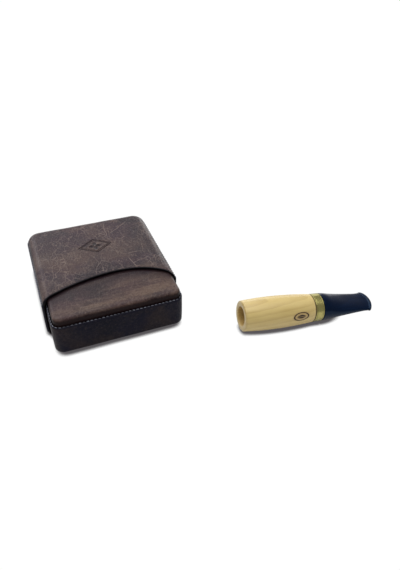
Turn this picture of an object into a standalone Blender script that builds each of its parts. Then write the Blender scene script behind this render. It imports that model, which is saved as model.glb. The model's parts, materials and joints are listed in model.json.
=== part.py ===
"""A moulded-leather cigar case, whose box slides into an outer sleeve, with a turned wooden cigar holder.

Row frame: the origin is the centre of the sleeve's underside, on the surface that the set stands on.
+X runs to the right along the case's front, +Y from the box's closed front to the sleeve's closed back,
and +Z up. The holder lies beside the case. Its own frame has +Z from the mouth to the bit, -X up and
+Y towards the back.
"""

import math

import bmesh
import bpy
from mathutils import Vector

MM = 0.001

# Leather and the room between pieces
LEATHER = 1.2
LINING = 0.8
GAP = 0.3
INSET = 1.5
SLEEVE_INSET = 0.8

# Sleeve, measured over its belt
SLEEVE_HALF_WIDTH = 42.2
SLEEVE_BACK = 48.3
SLEEVE_TOP = 30.5
SLEEVE_BELT_TOP = 25.5
SLEEVE_BELT_BOTTOM = 3.6
SLEEVE_CORNER = 9.0
SLEEVE_FILLET = 4.2
SLEEVE_FOOT_FILLET = 2.2

# Box, measured over its belt
BOX_HALF_WIDTH = 40.7
BOX_FRONT = -48.0
BOX_REAR = 40.3
BOX_TOP = 28.7
BOX_BOTTOM = 1.85
BOX_BELT_TOP = 23.7
BOX_BELT_BOTTOM = 3.7
BOX_CORNER = 6.0
BOX_FILLET = 1.8
BOX_LAP = 1.5
LINING_CORNER = 3.5
LINING_FILLET = 1.2

# Crescent thumb cut, a cubic in plan that leaves more leather on the left
CUT_LEFT = (-40.0, -27.0)
CUT_LEFT_PULL = (-18.0, -15.7)
CUT_RIGHT_PULL = (21.0, -6.0)
CUT_RIGHT = (40.0, -29.0)
CUT_MARGIN = 30.0

# Thread that closes each belt's top seam
THREAD_RADIUS = 0.25
THREAD_LIFT = 0.1

# Holder, along its own axis from the mouth
HOLDER_MOUTH = (72.8, -63.75, 12.2)
HOLDER_YAW = -7.6
HOLDER_DIP = 3.11
MOUTH_RADIUS = 9.75
BELLY_RADIUS = 10.7
NECK_RADIUS = 9.15
BELLY_AT = 20.3
BARREL_LENGTH = 48.2
RIM_ROUND = 1.2
LIP_ROUND = 0.6
SOCKET_RADIUS = 6.1
SOCKET_END_RADIUS = 5.8
SOCKET_DEPTH = 26.0
SOCKET_CONE = 3.0
SMOKE_RADIUS = 1.6
SPIGOT_RADIUS = 8.35
SPIGOT_END = 54.0
MORTISE_RADIUS = 4.4
MORTISE_START = 42.0
RING_RADIUS = 9.2
RING_WALL = 0.6
RING_ROUND = 0.25
TENON_RADIUS = 4.2
TENON_START = 42.6
TENON_END = 61.0
TENON_LEAD = 0.5
STEM_START = 54.4
STEM_TIP = 92.5
STEM_TIP_BULGE = 2.4
CHANNEL_END = 86.0
SLOT_HALF_WIDTH = 4.6
SLOT_FLATTEN = 0.22

# Stem sections: place along the axis, half width, half height and superellipse power
STEM_SECTIONS = (
    (54.4, 9.15, 9.15, 2.0),
    (57.0, 9.2, 8.9, 2.0),
    (64.0, 9.15, 6.6, 2.1),
    (72.0, 8.9, 4.4, 2.3),
    (80.0, 8.5, 3.0, 2.5),
    (87.0, 8.45, 2.25, 2.6),
    (90.2, 8.75, 2.2, 2.8),
    (91.0, 9.0, 2.75, 3.0),
    (92.1, 9.0, 2.7, 3.0),
    (92.5, 8.6, 2.2, 3.0),
)

CORNER_STEPS = 7
FILLET_STEPS = 4
TURN_STEPS = 48
BARREL_STEPS = 18
ROUND_STEPS = 3
SECTION_STEPS = 40
LOFT_STEPS = 26


def clear_scene():
    """Removes what the scene starts with."""
    for startup in list(bpy.data.objects):
        bpy.data.objects.remove(startup)


def new_collection(name, hidden=False):
    """A collection under the scene's own."""
    collection = bpy.data.collections.new(name)
    collection.hide_render = hidden
    bpy.context.scene.collection.children.link(collection)
    return collection


def new_material(name, colour, roughness, metallic=0.0, coat=0.0):
    """A Principled material with one flat colour."""
    material = bpy.data.materials.new(name)
    material.use_nodes = True
    shader = material.node_tree.nodes["Principled BSDF"]
    shader.inputs["Base Color"].default_value = (*colour, 1.0)
    shader.inputs["Roughness"].default_value = roughness
    shader.inputs["Metallic"].default_value = metallic
    shader.inputs["Coat Weight"].default_value = coat
    material.diffuse_color = (*colour, 1.0)
    return material


def new_object(name, mesh, collection, material=None, parent=None):
    """Links a mesh as a named object, and shades it smooth up to 35 degrees."""
    mesh.shade_smooth()
    mesh.set_sharp_from_angle(angle=math.radians(35))
    made = bpy.data.objects.new(name, mesh)
    collection.objects.link(made)
    if material:
        mesh.materials.append(material)
    made.parent = parent
    return made


def new_empty(name, place, collection, turn=(0.0, 0.0, 0.0), parent=None):
    """An empty that carries a moving body, at a place in millimetres and turned in degrees."""
    empty = bpy.data.objects.new(name, None)
    empty.empty_display_size = 10 * MM
    empty.location = Vector(place) * MM
    empty.rotation_euler = [math.radians(angle) for angle in turn]
    empty.parent = parent
    collection.objects.link(empty)
    return empty


def mesh_from(bm, name):
    """Finishes a bmesh as a mesh in metres."""
    bmesh.ops.scale(bm, vec=(MM, MM, MM), verts=bm.verts)
    mesh = bpy.data.meshes.new(name)
    bm.to_mesh(mesh)
    bm.free()
    return mesh


def at(value, target):
    """Whether a coordinate lies on a plane."""
    return abs(value - target) < 1e-4


def moulded_cube(half_width, front, back, bottom, top, corner, round_end):
    """A block with the two upright edges of its closed end rounded, and its open end removed."""
    bm = bmesh.new()
    bmesh.ops.create_cube(bm, size=1.0)
    bmesh.ops.scale(bm, vec=(2 * half_width, back - front, top - bottom), verts=bm.verts)
    middle = Vector((0.0, (front + back) / 2, (bottom + top) / 2))
    bmesh.ops.translate(bm, vec=middle, verts=bm.verts)
    open_end = front if at(round_end, back) else back
    ends = [face for face in bm.faces if at(face.calc_center_median().y, open_end)]
    bmesh.ops.delete(bm, geom=ends, context="FACES_ONLY")
    upright = [edge for edge in bm.edges if all(at(v.co.y, round_end) for v in edge.verts)]
    upright = [edge for edge in upright if at(edge.verts[0].co.x, edge.verts[1].co.x)]
    bmesh.ops.bevel(
        bm, geom=upright, offset=corner, segments=CORNER_STEPS, profile=0.5, affect="EDGES"
    )
    return bm


def remove_level(bm, level):
    """Deletes the flat face at one height."""
    flat = [face for face in bm.faces if all(at(v.co.z, level) for v in face.verts)]
    bmesh.ops.delete(bm, geom=flat, context="FACES_ONLY")


def round_level(bm, level, fillet):
    """Rounds the edge loop between the walls and the flat face at one height."""
    rim = [edge for edge in bm.edges if len(edge.link_faces) == 2]
    rim = [edge for edge in rim if all(at(v.co.z, level) for v in edge.verts)]
    bmesh.ops.bevel(
        bm, geom=rim, offset=fillet, segments=FILLET_STEPS, profile=0.5, affect="EDGES"
    )


def thicken(piece, thickness):
    """Gives an open surface its thickness, inwards."""
    solid = piece.modifiers.new("Thickness", "SOLIDIFY")
    solid.thickness = thickness * MM
    solid.offset = -1.0
    solid.use_even_offset = True


def cut(piece, cutter, name):
    """Takes a cutter away from a piece."""
    hole = piece.modifiers.new(name, "BOOLEAN")
    hole.operation = "DIFFERENCE"
    hole.object = cutter
    hole.solver = "EXACT"


def leather_tray(name, outline, shell_range, fillet, closed_at_top, collection, material, parent=None):
    """A moulded half shell: one flat wall with a rounded edge, and a low wall round three sides."""
    half_width, front, back, corner, round_end = outline
    bottom, top = shell_range
    bm = moulded_cube(half_width, front, back, bottom, top, corner, round_end)
    remove_level(bm, bottom if closed_at_top else top)
    round_level(bm, top if closed_at_top else bottom, fillet)
    tray = new_object(name, mesh_from(bm, name), collection, material, parent)
    thicken(tray, LEATHER)
    return tray


def leather_belt(name, outline, belt_range, collection, material, parent=None):
    """The upright band round three sides, between two half shells."""
    half_width, front, back, corner, round_end = outline
    bottom, top = belt_range
    bm = moulded_cube(half_width, front, back, bottom, top, corner, round_end)
    remove_level(bm, bottom)
    remove_level(bm, top)
    belt = new_object(name, mesh_from(bm, name), collection, material, parent)
    thicken(belt, LEATHER)
    return belt


def thumb_cutter(collection):
    """An upright prism whose back face is the crescent, and which reaches past the sleeve's front."""
    outline = bpy.data.curves.new("thumb_cutter", "CURVE")
    outline.dimensions = "2D"
    outline.fill_mode = "BOTH"
    outline.extrude = (SLEEVE_TOP / 2 + CUT_MARGIN) * MM
    outline.resolution_u = 24
    far = CUT_RIGHT[0] + CUT_MARGIN
    near = BOX_FRONT - CUT_MARGIN
    corners = (
        (CUT_LEFT, (-far, CUT_LEFT[1]), CUT_LEFT_PULL),
        (CUT_RIGHT, CUT_RIGHT_PULL, (far, CUT_RIGHT[1])),
        ((far, CUT_RIGHT[1]), CUT_RIGHT, (far, near)),
        ((far, near), (far, CUT_RIGHT[1]), (-far, near)),
        ((-far, near), (far, near), (-far, CUT_LEFT[1])),
        ((-far, CUT_LEFT[1]), (-far, near), CUT_LEFT),
    )
    spline = outline.splines.new("BEZIER")
    spline.bezier_points.add(len(corners) - 1)
    spline.use_cyclic_u = True
    for point, (place, before, after) in zip(spline.bezier_points, corners):
        point.handle_left_type = "FREE"
        point.handle_right_type = "FREE"
        point.co = Vector((*place, 0.0)) * MM
        point.handle_left = Vector((*before, 0.0)) * MM
        point.handle_right = Vector((*after, 0.0)) * MM
    guide = bpy.data.objects.new("thumb_outline", outline)
    collection.objects.link(guide)
    cutter = solid_from_curve(guide, "thumb_cutter", collection)
    cutter.location.z = SLEEVE_TOP / 2 * MM
    return cutter


def solid_from_curve(guide, name, collection):
    """Turns a filled curve into a closed mesh object, and removes the curve."""
    bpy.context.view_layer.update()
    graph = bpy.context.evaluated_depsgraph_get()
    mesh = bpy.data.meshes.new_from_object(guide.evaluated_get(graph))
    bm = bmesh.new()
    bm.from_mesh(mesh)
    bmesh.ops.remove_doubles(bm, verts=bm.verts, dist=1e-6)
    bmesh.ops.recalc_face_normals(bm, faces=bm.faces)
    bm.to_mesh(mesh)
    bm.free()
    solid = bpy.data.objects.new(name, mesh)
    solid.matrix_world = guide.matrix_world
    solid.display_type = "WIRE"
    solid.hide_render = True
    collection.objects.link(solid)
    bpy.data.objects.remove(guide)
    return solid


def seam_path(half_width, left_start, right_start, end, corner):
    """Points along a seam, from the left side's open end round the closed end to the right side's."""
    towards = 1.0 if end > left_start else -1.0
    points = [(-half_width, left_start)]
    for side in (-1.0, 1.0):
        for step in range(CORNER_STEPS + 1):
            turn = step / CORNER_STEPS * math.pi / 2
            turn = math.pi / 2 - turn if side > 0 else turn
            x = side * (half_width - corner + corner * math.cos(turn))
            y = end - towards * (corner - corner * math.sin(turn))
            points.append((x, y))
    points.append((half_width, right_start))
    return points


def seam_thread(name, path, height, collection, material, parent=None):
    """One round thread laid along a seam."""
    curve = bpy.data.curves.new(name, "CURVE")
    curve.dimensions = "3D"
    curve.bevel_depth = THREAD_RADIUS * MM
    curve.bevel_resolution = 1
    curve.use_fill_caps = True
    spline = curve.splines.new("POLY")
    spline.points.add(len(path) - 1)
    for point, (x, y) in zip(spline.points, path):
        point.co = (x * MM, y * MM, height * MM, 1.0)
    curve.materials.append(material)
    thread = bpy.data.objects.new(name, curve)
    thread.parent = parent
    collection.objects.link(thread)
    return thread


def build_sleeve(collection, cutter, materials):
    """The outer sleeve: closed at the back, open at the front, with the crescent cut right through."""
    front = BOX_FRONT
    leather = materials["sleeve"]
    belt_outline = (SLEEVE_HALF_WIDTH, front, SLEEVE_BACK, SLEEVE_CORNER, SLEEVE_BACK)
    inset = SLEEVE_INSET
    shell_back = SLEEVE_BACK - inset
    shell_outline = (SLEEVE_HALF_WIDTH - inset, front, shell_back, SLEEVE_CORNER - inset, shell_back)
    upper_range = (SLEEVE_BELT_TOP + GAP, SLEEVE_TOP)
    lower_range = (0.0, SLEEVE_BELT_BOTTOM - GAP)
    belt_range = (SLEEVE_BELT_BOTTOM, SLEEVE_BELT_TOP)
    pieces = (
        leather_tray("sleeve_upper_shell", shell_outline, upper_range, SLEEVE_FILLET, True,
                     collection, leather),
        leather_belt("sleeve_belt", belt_outline, belt_range, collection, leather),
        leather_tray("sleeve_lower_shell", shell_outline, lower_range, SLEEVE_FOOT_FILLET, False,
                     collection, leather),
    )
    for piece in pieces:
        cut(piece, cutter, "Thumb cut")
    middle = SLEEVE_HALF_WIDTH - inset / 2
    end = SLEEVE_BACK - inset / 2
    path = seam_path(middle, CUT_LEFT[1] + GAP, CUT_RIGHT[1] + GAP, end, SLEEVE_CORNER - inset / 2)
    height = SLEEVE_BELT_TOP + THREAD_LIFT + THREAD_RADIUS
    seam_thread("sleeve_seam_thread", path, height, collection, materials["thread"])


def build_box(collection, materials):
    """The inner box: closed at the front, open at the rear, with the gap's room in the sleeve each side."""
    slider = new_empty("box_slider", (0.0, BOX_FRONT, BOX_BOTTOM), collection)
    offset = Vector((0.0, -BOX_FRONT, -BOX_BOTTOM))
    leather = materials["box"]
    rear = BOX_REAR
    belt_outline = (BOX_HALF_WIDTH, BOX_FRONT, rear, BOX_CORNER, BOX_FRONT)
    shell_front = BOX_FRONT + INSET
    shell_outline = (BOX_HALF_WIDTH - INSET, shell_front, rear, BOX_CORNER - INSET, shell_front)
    pieces = [
        leather_tray("box_upper_shell", shell_outline, (BOX_BELT_TOP - BOX_LAP, BOX_TOP), BOX_FILLET,
                     True, collection, leather, slider),
        leather_belt("box_belt", belt_outline, (BOX_BELT_BOTTOM, BOX_BELT_TOP), collection, leather,
                     slider),
        leather_tray("box_lower_shell", shell_outline, (BOX_BOTTOM, BOX_BELT_BOTTOM + BOX_LAP),
                     BOX_FILLET, False, collection, leather, slider),
    ]
    inset = INSET + LEATHER + GAP
    bm = moulded_cube(
        BOX_HALF_WIDTH - inset, BOX_FRONT + inset, rear - GAP,
        BOX_BOTTOM + LEATHER + GAP, BOX_TOP - LEATHER - GAP, LINING_CORNER, BOX_FRONT + inset,
    )
    for level in (BOX_BOTTOM + LEATHER + GAP, BOX_TOP - LEATHER - GAP):
        round_level(bm, level, LINING_FILLET)
    lining = new_object("box_lining", mesh_from(bm, "box_lining"), collection, materials["lining"], slider)
    thicken(lining, LINING)
    pieces.append(lining)
    middle = BOX_HALF_WIDTH - INSET / 2
    end = BOX_FRONT + INSET / 2
    path = seam_path(middle, rear - GAP, rear - GAP, end, BOX_CORNER - INSET / 2)
    height = BOX_BELT_TOP + THREAD_LIFT + THREAD_RADIUS
    thread = seam_thread("box_seam_thread", path, height, collection, materials["thread"], slider)
    pieces.append(thread)
    for piece in pieces:
        piece.location = offset * MM


def barrel_radius(place):
    """The barrel's outer radius: a parabola on each side of its belly."""
    if place < BELLY_AT:
        return BELLY_RADIUS - (BELLY_RADIUS - MOUTH_RADIUS) * (1 - place / BELLY_AT) ** 2
    past = (place - BELLY_AT) / (BARREL_LENGTH - BELLY_AT)
    return BELLY_RADIUS - (BELLY_RADIUS - NECK_RADIUS) * past ** 2


def quarter(radius, place, size, start, end):
    """Points on a quarter round about one centre, between two angles in degrees."""
    points = []
    for step in range(ROUND_STEPS + 1):
        angle = math.radians(start + (end - start) * step / ROUND_STEPS)
        points.append((radius + size * math.cos(angle), place + size * math.sin(angle)))
    return points


def turned(name, profile, collection, material, parent):
    """A solid of revolution about its own Z, from a closed profile of radius and place."""
    bm = bmesh.new()
    points = [bm.verts.new((radius, 0.0, place)) for radius, place in profile]
    for first, second in zip(points, points[1:] + points[:1]):
        bm.edges.new((first, second))
    piece = new_object(name, mesh_from(bm, name), collection, material, parent)
    screw = piece.modifiers.new("Turning", "SCREW")
    screw.axis = "Z"
    screw.steps = TURN_STEPS
    screw.render_steps = TURN_STEPS
    screw.use_merge_vertices = True
    screw.merge_threshold = 1e-6
    screw.use_smooth_shade = True
    return piece


def barrel_profile():
    """Down the outside from the neck to the mouth, and back up through socket, smoke hole and mortise."""
    places = [BARREL_LENGTH + (RIM_ROUND - BARREL_LENGTH) * step / BARREL_STEPS
              for step in range(BARREL_STEPS + 1)]
    outside = [(barrel_radius(place), place) for place in places]
    rim = quarter(barrel_radius(RIM_ROUND) - RIM_ROUND, RIM_ROUND, RIM_ROUND, 0, -90)[1:]
    lip = quarter(SOCKET_RADIUS + LIP_ROUND, LIP_ROUND, LIP_ROUND, -90, -180)
    inside = [
        (SOCKET_END_RADIUS, SOCKET_DEPTH),
        (SMOKE_RADIUS, SOCKET_DEPTH + SOCKET_CONE),
        (SMOKE_RADIUS, MORTISE_START),
        (MORTISE_RADIUS, MORTISE_START),
        (MORTISE_RADIUS, SPIGOT_END),
        (SPIGOT_RADIUS, SPIGOT_END),
        (SPIGOT_RADIUS, BARREL_LENGTH),
    ]
    return outside + rim + lip + inside


def ring_profile():
    """A plain band with its outer edges rounded."""
    low = BARREL_LENGTH + GAP
    high = STEM_START - GAP
    outer = RING_RADIUS - RING_ROUND
    upper = quarter(outer, high - RING_ROUND, RING_ROUND, 90, 0)
    lower = quarter(outer, low + RING_ROUND, RING_ROUND, 0, -90)
    return upper + lower + [(RING_RADIUS - RING_WALL, low), (RING_RADIUS - RING_WALL, high)]


def tenon_profile():
    """A tube with both of its outer edges chamfered."""
    lead = TENON_RADIUS - TENON_LEAD
    return [
        (lead, TENON_END),
        (TENON_RADIUS, TENON_END - TENON_LEAD),
        (TENON_RADIUS, TENON_START + TENON_LEAD),
        (lead, TENON_START),
        (SMOKE_RADIUS, TENON_START),
        (SMOKE_RADIUS, TENON_END),
    ]


def stem_section(place):
    """Half width, half height and power at one place, eased between the stated sections."""
    for before, after in zip(STEM_SECTIONS, STEM_SECTIONS[1:]):
        if place <= after[0]:
            break
    share = (place - before[0]) / (after[0] - before[0])
    return [low + (high - low) * share for low, high in zip(before[1:], after[1:])]


def superellipse(half_width, half_height, power, step):
    """A point on a rounded section, as height and width about the axis."""
    turn = 2 * math.pi * step / SECTION_STEPS
    across = math.copysign(abs(math.sin(turn)) ** (2 / power), math.sin(turn))
    upward = math.copysign(abs(math.cos(turn)) ** (2 / power), math.cos(turn))
    return half_height * upward, half_width * across


def stem_places():
    """Even places along the stem, with each section of the lip kept."""
    lip_start = STEM_SECTIONS[-4][0]
    even = [STEM_START + (lip_start - STEM_START) * step / LOFT_STEPS for step in range(LOFT_STEPS)]
    return even + [section[0] for section in STEM_SECTIONS[-4:]]


def stem_mesh():
    """A loft from the round shoulder to the flat bit, whose end bows outwards in the middle."""
    bm = bmesh.new()
    rings = []
    for place in stem_places():
        half_width, half_height, power = stem_section(place)
        bow = STEM_TIP_BULGE * ((place - STEM_START) / (STEM_TIP - STEM_START)) ** 4
        ring = []
        for step in range(SECTION_STEPS):
            height, width = superellipse(half_width, half_height, power, step)
            drawn_back = bow * (width / half_width) ** 2
            ring.append(bm.verts.new((height, width, place - drawn_back)))
        rings.append(ring)
    for lower, upper in zip(rings, rings[1:]):
        for index in range(SECTION_STEPS):
            following = (index + 1) % SECTION_STEPS
            bm.faces.new((lower[index], lower[following], upper[following], upper[index]))
    bm.faces.new(rings[0][::-1])
    bmesh.ops.triangle_fill(bm, use_beauty=True, edges=ring_edges(bm, rings[-1]))
    bmesh.ops.recalc_face_normals(bm, faces=bm.faces)
    return mesh_from(bm, "stem")


def ring_edges(bm, ring):
    """The edges that join one ring's neighbouring points."""
    return [bm.edges.get((first, second)) for first, second in zip(ring, ring[1:] + ring[:1])]


def round_cutter(name, radius_start, radius_end, start, end, collection, parent, flatten=1.0):
    """A straight or tapered drill along the holder's axis, which can be flattened."""
    bm = bmesh.new()
    bmesh.ops.create_cone(
        bm, cap_ends=True, segments=TURN_STEPS // 2, radius1=radius_start, radius2=radius_end,
        depth=end - start,
    )
    bmesh.ops.scale(bm, vec=(flatten, 1.0, 1.0), verts=bm.verts)
    bmesh.ops.translate(bm, vec=(0.0, 0.0, (start + end) / 2), verts=bm.verts)
    drill = new_object(name, mesh_from(bm, name), collection, None, parent)
    drill.display_type = "WIRE"
    drill.hide_render = True
    return drill


def build_holder(collection, cutters, materials):
    """The holder: turned barrel, brass ring, flattened stem and the tube that joins stem to barrel."""
    turn = (0.0, 90.0 + HOLDER_DIP, HOLDER_YAW)
    axis = new_empty("holder_axis", HOLDER_MOUTH, collection, turn)
    turned("holder_barrel", barrel_profile(), collection, materials["wood"], axis)
    turned("holder_ring", ring_profile(), collection, materials["brass"], axis)
    stem_axis = new_empty("stem_axis", (0.0, 0.0, 0.0), collection, parent=axis)
    turned("stem_tenon", tenon_profile(), collection, materials["tenon"], stem_axis)
    stem = new_object("holder_stem", stem_mesh(), collection, materials["acrylic"], stem_axis)
    socket_radius = TENON_RADIUS + GAP
    socket = round_cutter("stem_socket_drill", socket_radius, socket_radius, STEM_START - 1.0,
                          TENON_END + GAP, cutters, stem_axis)
    channel = round_cutter("stem_channel_drill", SMOKE_RADIUS, SMOKE_RADIUS / 2, TENON_END,
                           CHANNEL_END, cutters, stem_axis)
    slot = round_cutter("stem_slot_drill", SMOKE_RADIUS, SLOT_HALF_WIDTH, CHANNEL_END - 5.0,
                        STEM_TIP + 1.0, cutters, stem_axis, SLOT_FLATTEN)
    cut(stem, socket, "Tenon socket")
    cut(stem, channel, "Smoke channel")
    cut(stem, slot, "Bit slot")


def main():
    clear_scene()
    parts = new_collection("cigar_case_and_holder")
    cutters = new_collection("cutters", hidden=True)
    materials = {
        "sleeve": new_material("sleeve_leather", (0.085, 0.055, 0.052), 0.5),
        "box": new_material("box_leather", (0.06, 0.038, 0.04), 0.45),
        "lining": new_material("lining_suede", (0.16, 0.10, 0.07), 0.95),
        "thread": new_material("waxed_thread", (0.13, 0.10, 0.09), 0.6),
        "wood": new_material("pale_wood", (0.68, 0.52, 0.28), 0.4),
        "brass": new_material("brass", (0.70, 0.55, 0.25), 0.3, metallic=1.0),
        "acrylic": new_material("black_acrylic", (0.008, 0.010, 0.016), 0.12, coat=0.5),
        "tenon": new_material("white_acetal", (0.75, 0.74, 0.70), 0.45),
    }
    build_sleeve(parts, thumb_cutter(cutters), materials)
    build_box(parts, materials)
    build_holder(parts, cutters, materials)
    bpy.context.view_layer.update()


main()
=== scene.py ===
import json
import math

import bpy
import numpy as np
from mathutils import Matrix, Vector

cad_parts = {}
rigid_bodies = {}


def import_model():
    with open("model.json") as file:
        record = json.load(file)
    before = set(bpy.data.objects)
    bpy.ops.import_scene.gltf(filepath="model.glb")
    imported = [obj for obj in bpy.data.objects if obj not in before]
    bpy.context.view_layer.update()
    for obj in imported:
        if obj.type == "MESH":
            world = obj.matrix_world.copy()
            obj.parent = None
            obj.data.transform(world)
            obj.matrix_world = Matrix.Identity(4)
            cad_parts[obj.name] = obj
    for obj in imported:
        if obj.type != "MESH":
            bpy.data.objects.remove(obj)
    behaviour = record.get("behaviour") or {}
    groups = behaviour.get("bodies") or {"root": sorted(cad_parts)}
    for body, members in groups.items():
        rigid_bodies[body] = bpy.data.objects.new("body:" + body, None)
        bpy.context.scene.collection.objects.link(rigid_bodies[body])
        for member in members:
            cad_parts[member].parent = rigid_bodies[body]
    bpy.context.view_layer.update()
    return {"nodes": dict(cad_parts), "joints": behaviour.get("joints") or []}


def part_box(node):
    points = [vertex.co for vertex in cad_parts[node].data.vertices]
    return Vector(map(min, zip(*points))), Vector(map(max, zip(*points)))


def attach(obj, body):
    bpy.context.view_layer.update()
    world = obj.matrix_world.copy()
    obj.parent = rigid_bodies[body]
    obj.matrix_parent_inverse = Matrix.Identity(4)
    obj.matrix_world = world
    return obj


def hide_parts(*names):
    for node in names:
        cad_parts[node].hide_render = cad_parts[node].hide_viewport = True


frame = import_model()

mm = 0.001
edgeReach = 0.9  # how far the dye of a cut edge runs in, in millimetres


def smooth(value, low, high):
    # 0 below low and 1 above high, eased between
    share = np.clip((value - low) / (high - low), 0, 1)
    return share * share * (3 - 2 * share)


def throughKeys(keys, values, at):
    # A cubic through the keyed values, with the slopes of their neighbours
    keys, values, at = (np.asarray(item, float) for item in (keys, values, at))
    slopes = np.gradient(values, keys)
    left = np.clip(np.searchsorted(keys, at, "right") - 1, 0, len(keys) - 2)
    width = keys[left + 1] - keys[left]
    t = (at - keys[left]) / width
    rise = (2 * t**3 - 3 * t**2 + 1) * values[left] + (3 * t**2 - 2 * t**3) * values[left + 1]
    return rise + width * ((t**3 - 2 * t**2 + t) * slopes[left] + (t**3 - t**2) * slopes[left + 1])


def pitched(stops, pitches):
    # Values from the first stop to the last, spaced by each stretch's own pitch
    parts = [np.linspace(low, high, max(2, int(round((high - low) / pitch)) + 1))[:-1]
             for low, high, pitch in zip(stops, stops[1:], pitches)]
    return np.concatenate(parts + [[stops[-1]]])


def ripple(x, y, amount, wave, seed):
    # A few crossed sine waves of random heading and phase, which leave leather gently uneven
    draw = np.random.default_rng(seed)
    heading = draw.uniform(0, math.pi, 7)
    length = wave * draw.uniform(0.6, 1.8, 7)
    phase = draw.uniform(0, 2 * math.pi, 7)
    spread = np.stack(np.broadcast_arrays(x, y), -1) @ np.stack([np.cos(heading), np.sin(heading)])
    return amount * np.sin(2 * math.pi * spread / length + phase).sum(-1) / 7**0.5


def newPiece(name, points, faces, body, material, replaced=(), layers=None):
    # Points are in millimetres, and layers are named values, one for each point
    mesh = bpy.data.meshes.new(name)
    mesh.from_pydata((points * mm).tolist(), [], faces if isinstance(faces, list) else faces.tolist())
    mesh.shade_smooth()
    for layerName, values in (layers or {}).items():
        layer = mesh.attributes.new(layerName, "FLOAT", "POINT")
        layer.data.foreach_set("value", np.ascontiguousarray(values, np.float32))
    mesh.materials.append(material)
    piece = bpy.data.objects.new(name, mesh)
    bpy.context.scene.collection.objects.link(piece)
    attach(piece, body)
    if replaced:
        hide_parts(*replaced)
    return piece


def gridQuads(index):
    # One quad between each four neighbours of a grid of point numbers
    return np.stack([index[:-1, :-1], index[1:, :-1], index[1:, 1:], index[:-1, 1:]], -1).reshape(-1, 4)


def shellOf(sheet, outward, thickness, sense, edgeSteps=5):
    # The sheet, the same sheet moved inwards by each place's thickness, and half a round along its edge.
    # Gives points, faces, and for each point whether it is on the inside
    rows, columns = sheet.shape[:2]
    count = rows * columns
    index = np.arange(count).reshape(rows, columns)
    loop = np.concatenate([index[0, :-1], index[:-1, -1], index[-1, :0:-1], index[:0:-1, 0]])
    edge = sheet.reshape(-1, 3)[loop]
    edgeOut = outward.reshape(-1, 3)[loop]
    along = np.roll(edge, -1, 0) - np.roll(edge, 1, 0)
    away = np.cross(edgeOut, along) * sense
    away /= np.linalg.norm(away, axis=-1, keepdims=True)
    turn = np.linspace(0, math.pi, edgeSteps + 2)[1:-1, None, None]
    thickness = np.broadcast_to(thickness, sheet.shape[:2])[..., None]
    half = thickness.reshape(-1, 1)[loop] / 2
    edgeRound = edge - half * edgeOut + half * (np.cos(turn) * edgeOut + np.sin(turn) * away)
    points = np.concatenate([sheet.reshape(-1, 3), (sheet - thickness * outward).reshape(-1, 3),
                             edgeRound.reshape(-1, 3)])
    turned = 2 * count + np.arange(edgeSteps * len(loop)).reshape(edgeSteps, -1)
    chain = np.vstack([loop, turned, loop + count])
    chain = np.concatenate([chain, chain[:, :1]], 1)
    quads = gridQuads(index)
    faces = np.concatenate([quads, quads[:, ::-1] + count, gridQuads(chain)[:, ::-1]])
    edgeInside = np.repeat(np.linspace(0, 1, edgeSteps), len(loop)) > 0.5
    inside = np.concatenate([np.zeros(count), np.ones(count), edgeInside])
    return points, faces if sense > 0 else faces[:, ::-1], inside


def overShell(values, count, total):
    # Gives both faces of a shell the sheet's own values, and its edge the value 1
    return np.concatenate([values.ravel(), values.ravel(), np.ones(total - 2 * count)])


def thumbCut(x):
    # The crescent's place along the case for each place across it: a cubic in plan, level beyond its ends
    t = np.linspace(0, 1, 200)[:, None]
    left, leftPull, rightPull, right = (np.array(point) for point in caseSettings["thumbCut"])
    curve = (1 - t)**3 * left + 3 * (1 - t)**2 * t * leftPull + 3 * (1 - t) * t**2 * rightPull + t**3 * right
    return np.interp(x, curve[:, 0], curve[:, 1])


def traySheet(tray, across, along, front):
    # A half shell laid out flat and folded up: flat in the middle, a quarter round, then an upright wall.
    # Past both an upright side and the closed end, squares of the layout become a quarter disc, so that
    # corners are round in plan. across and along are lengths over the leather
    corner, fillet = tray["corner"], tray["fillet"]
    flat = corner - fillet
    arc = fillet * math.pi / 2
    coreX, coreY = tray["halfWidth"] - corner, tray["end"] - corner
    dx = np.maximum(np.abs(across) - coreX, 0)[:, None]

    def fold(reach):
        turn = np.clip((reach - flat) / fillet, 0, math.pi / 2)
        out = np.minimum(reach, flat) + fillet * np.sin(turn)
        drop = fillet * (1 - np.cos(turn)) + np.maximum(reach - flat - arc, 0)
        return out, drop, turn

    startX = np.minimum(np.abs(across), coreX)[:, None] + fold(dx)[0]
    start = front(np.sign(across)[:, None] * startX)
    level = tray["level"]
    low = start + (level - start) * np.linspace(0, 1, tray["frontSteps"])[None, :-1]
    lengthwise = np.concatenate([low, np.repeat(along[None, :], len(across), 0)], 1)
    dy = np.maximum(lengthwise - coreY, 0)
    dx = np.repeat(dx, lengthwise.shape[1], 1)
    reach = np.maximum(dx, dy)
    share = np.minimum(dx, dy) / np.maximum(reach, 1e-9) * math.pi / 4
    angle = np.where(dx >= dy, share, math.pi / 2 - share)
    out, drop, turn = fold(reach)
    side = np.where(across < 0, -1.0, 1.0)[:, None]
    x = side * (np.minimum(np.abs(across), coreX)[:, None] + out * np.cos(angle))
    y = np.minimum(lengthwise, coreY) + out * np.sin(angle)
    sheet = np.stack([x, y, -drop], -1)
    outward = np.stack([side * np.cos(angle) * np.sin(turn), np.sin(angle) * np.sin(turn), np.cos(turn)], -1)
    wallEnd = flat + arc + tray["wall"]
    nearest = np.minimum(lengthwise - start, wallEnd - reach)
    # the last value, how upright each place is, carries the painted shade of the walls
    return sheet, outward, nearest, np.sin(2 * turn), smooth(turn, math.radians(48), math.radians(84))


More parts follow.
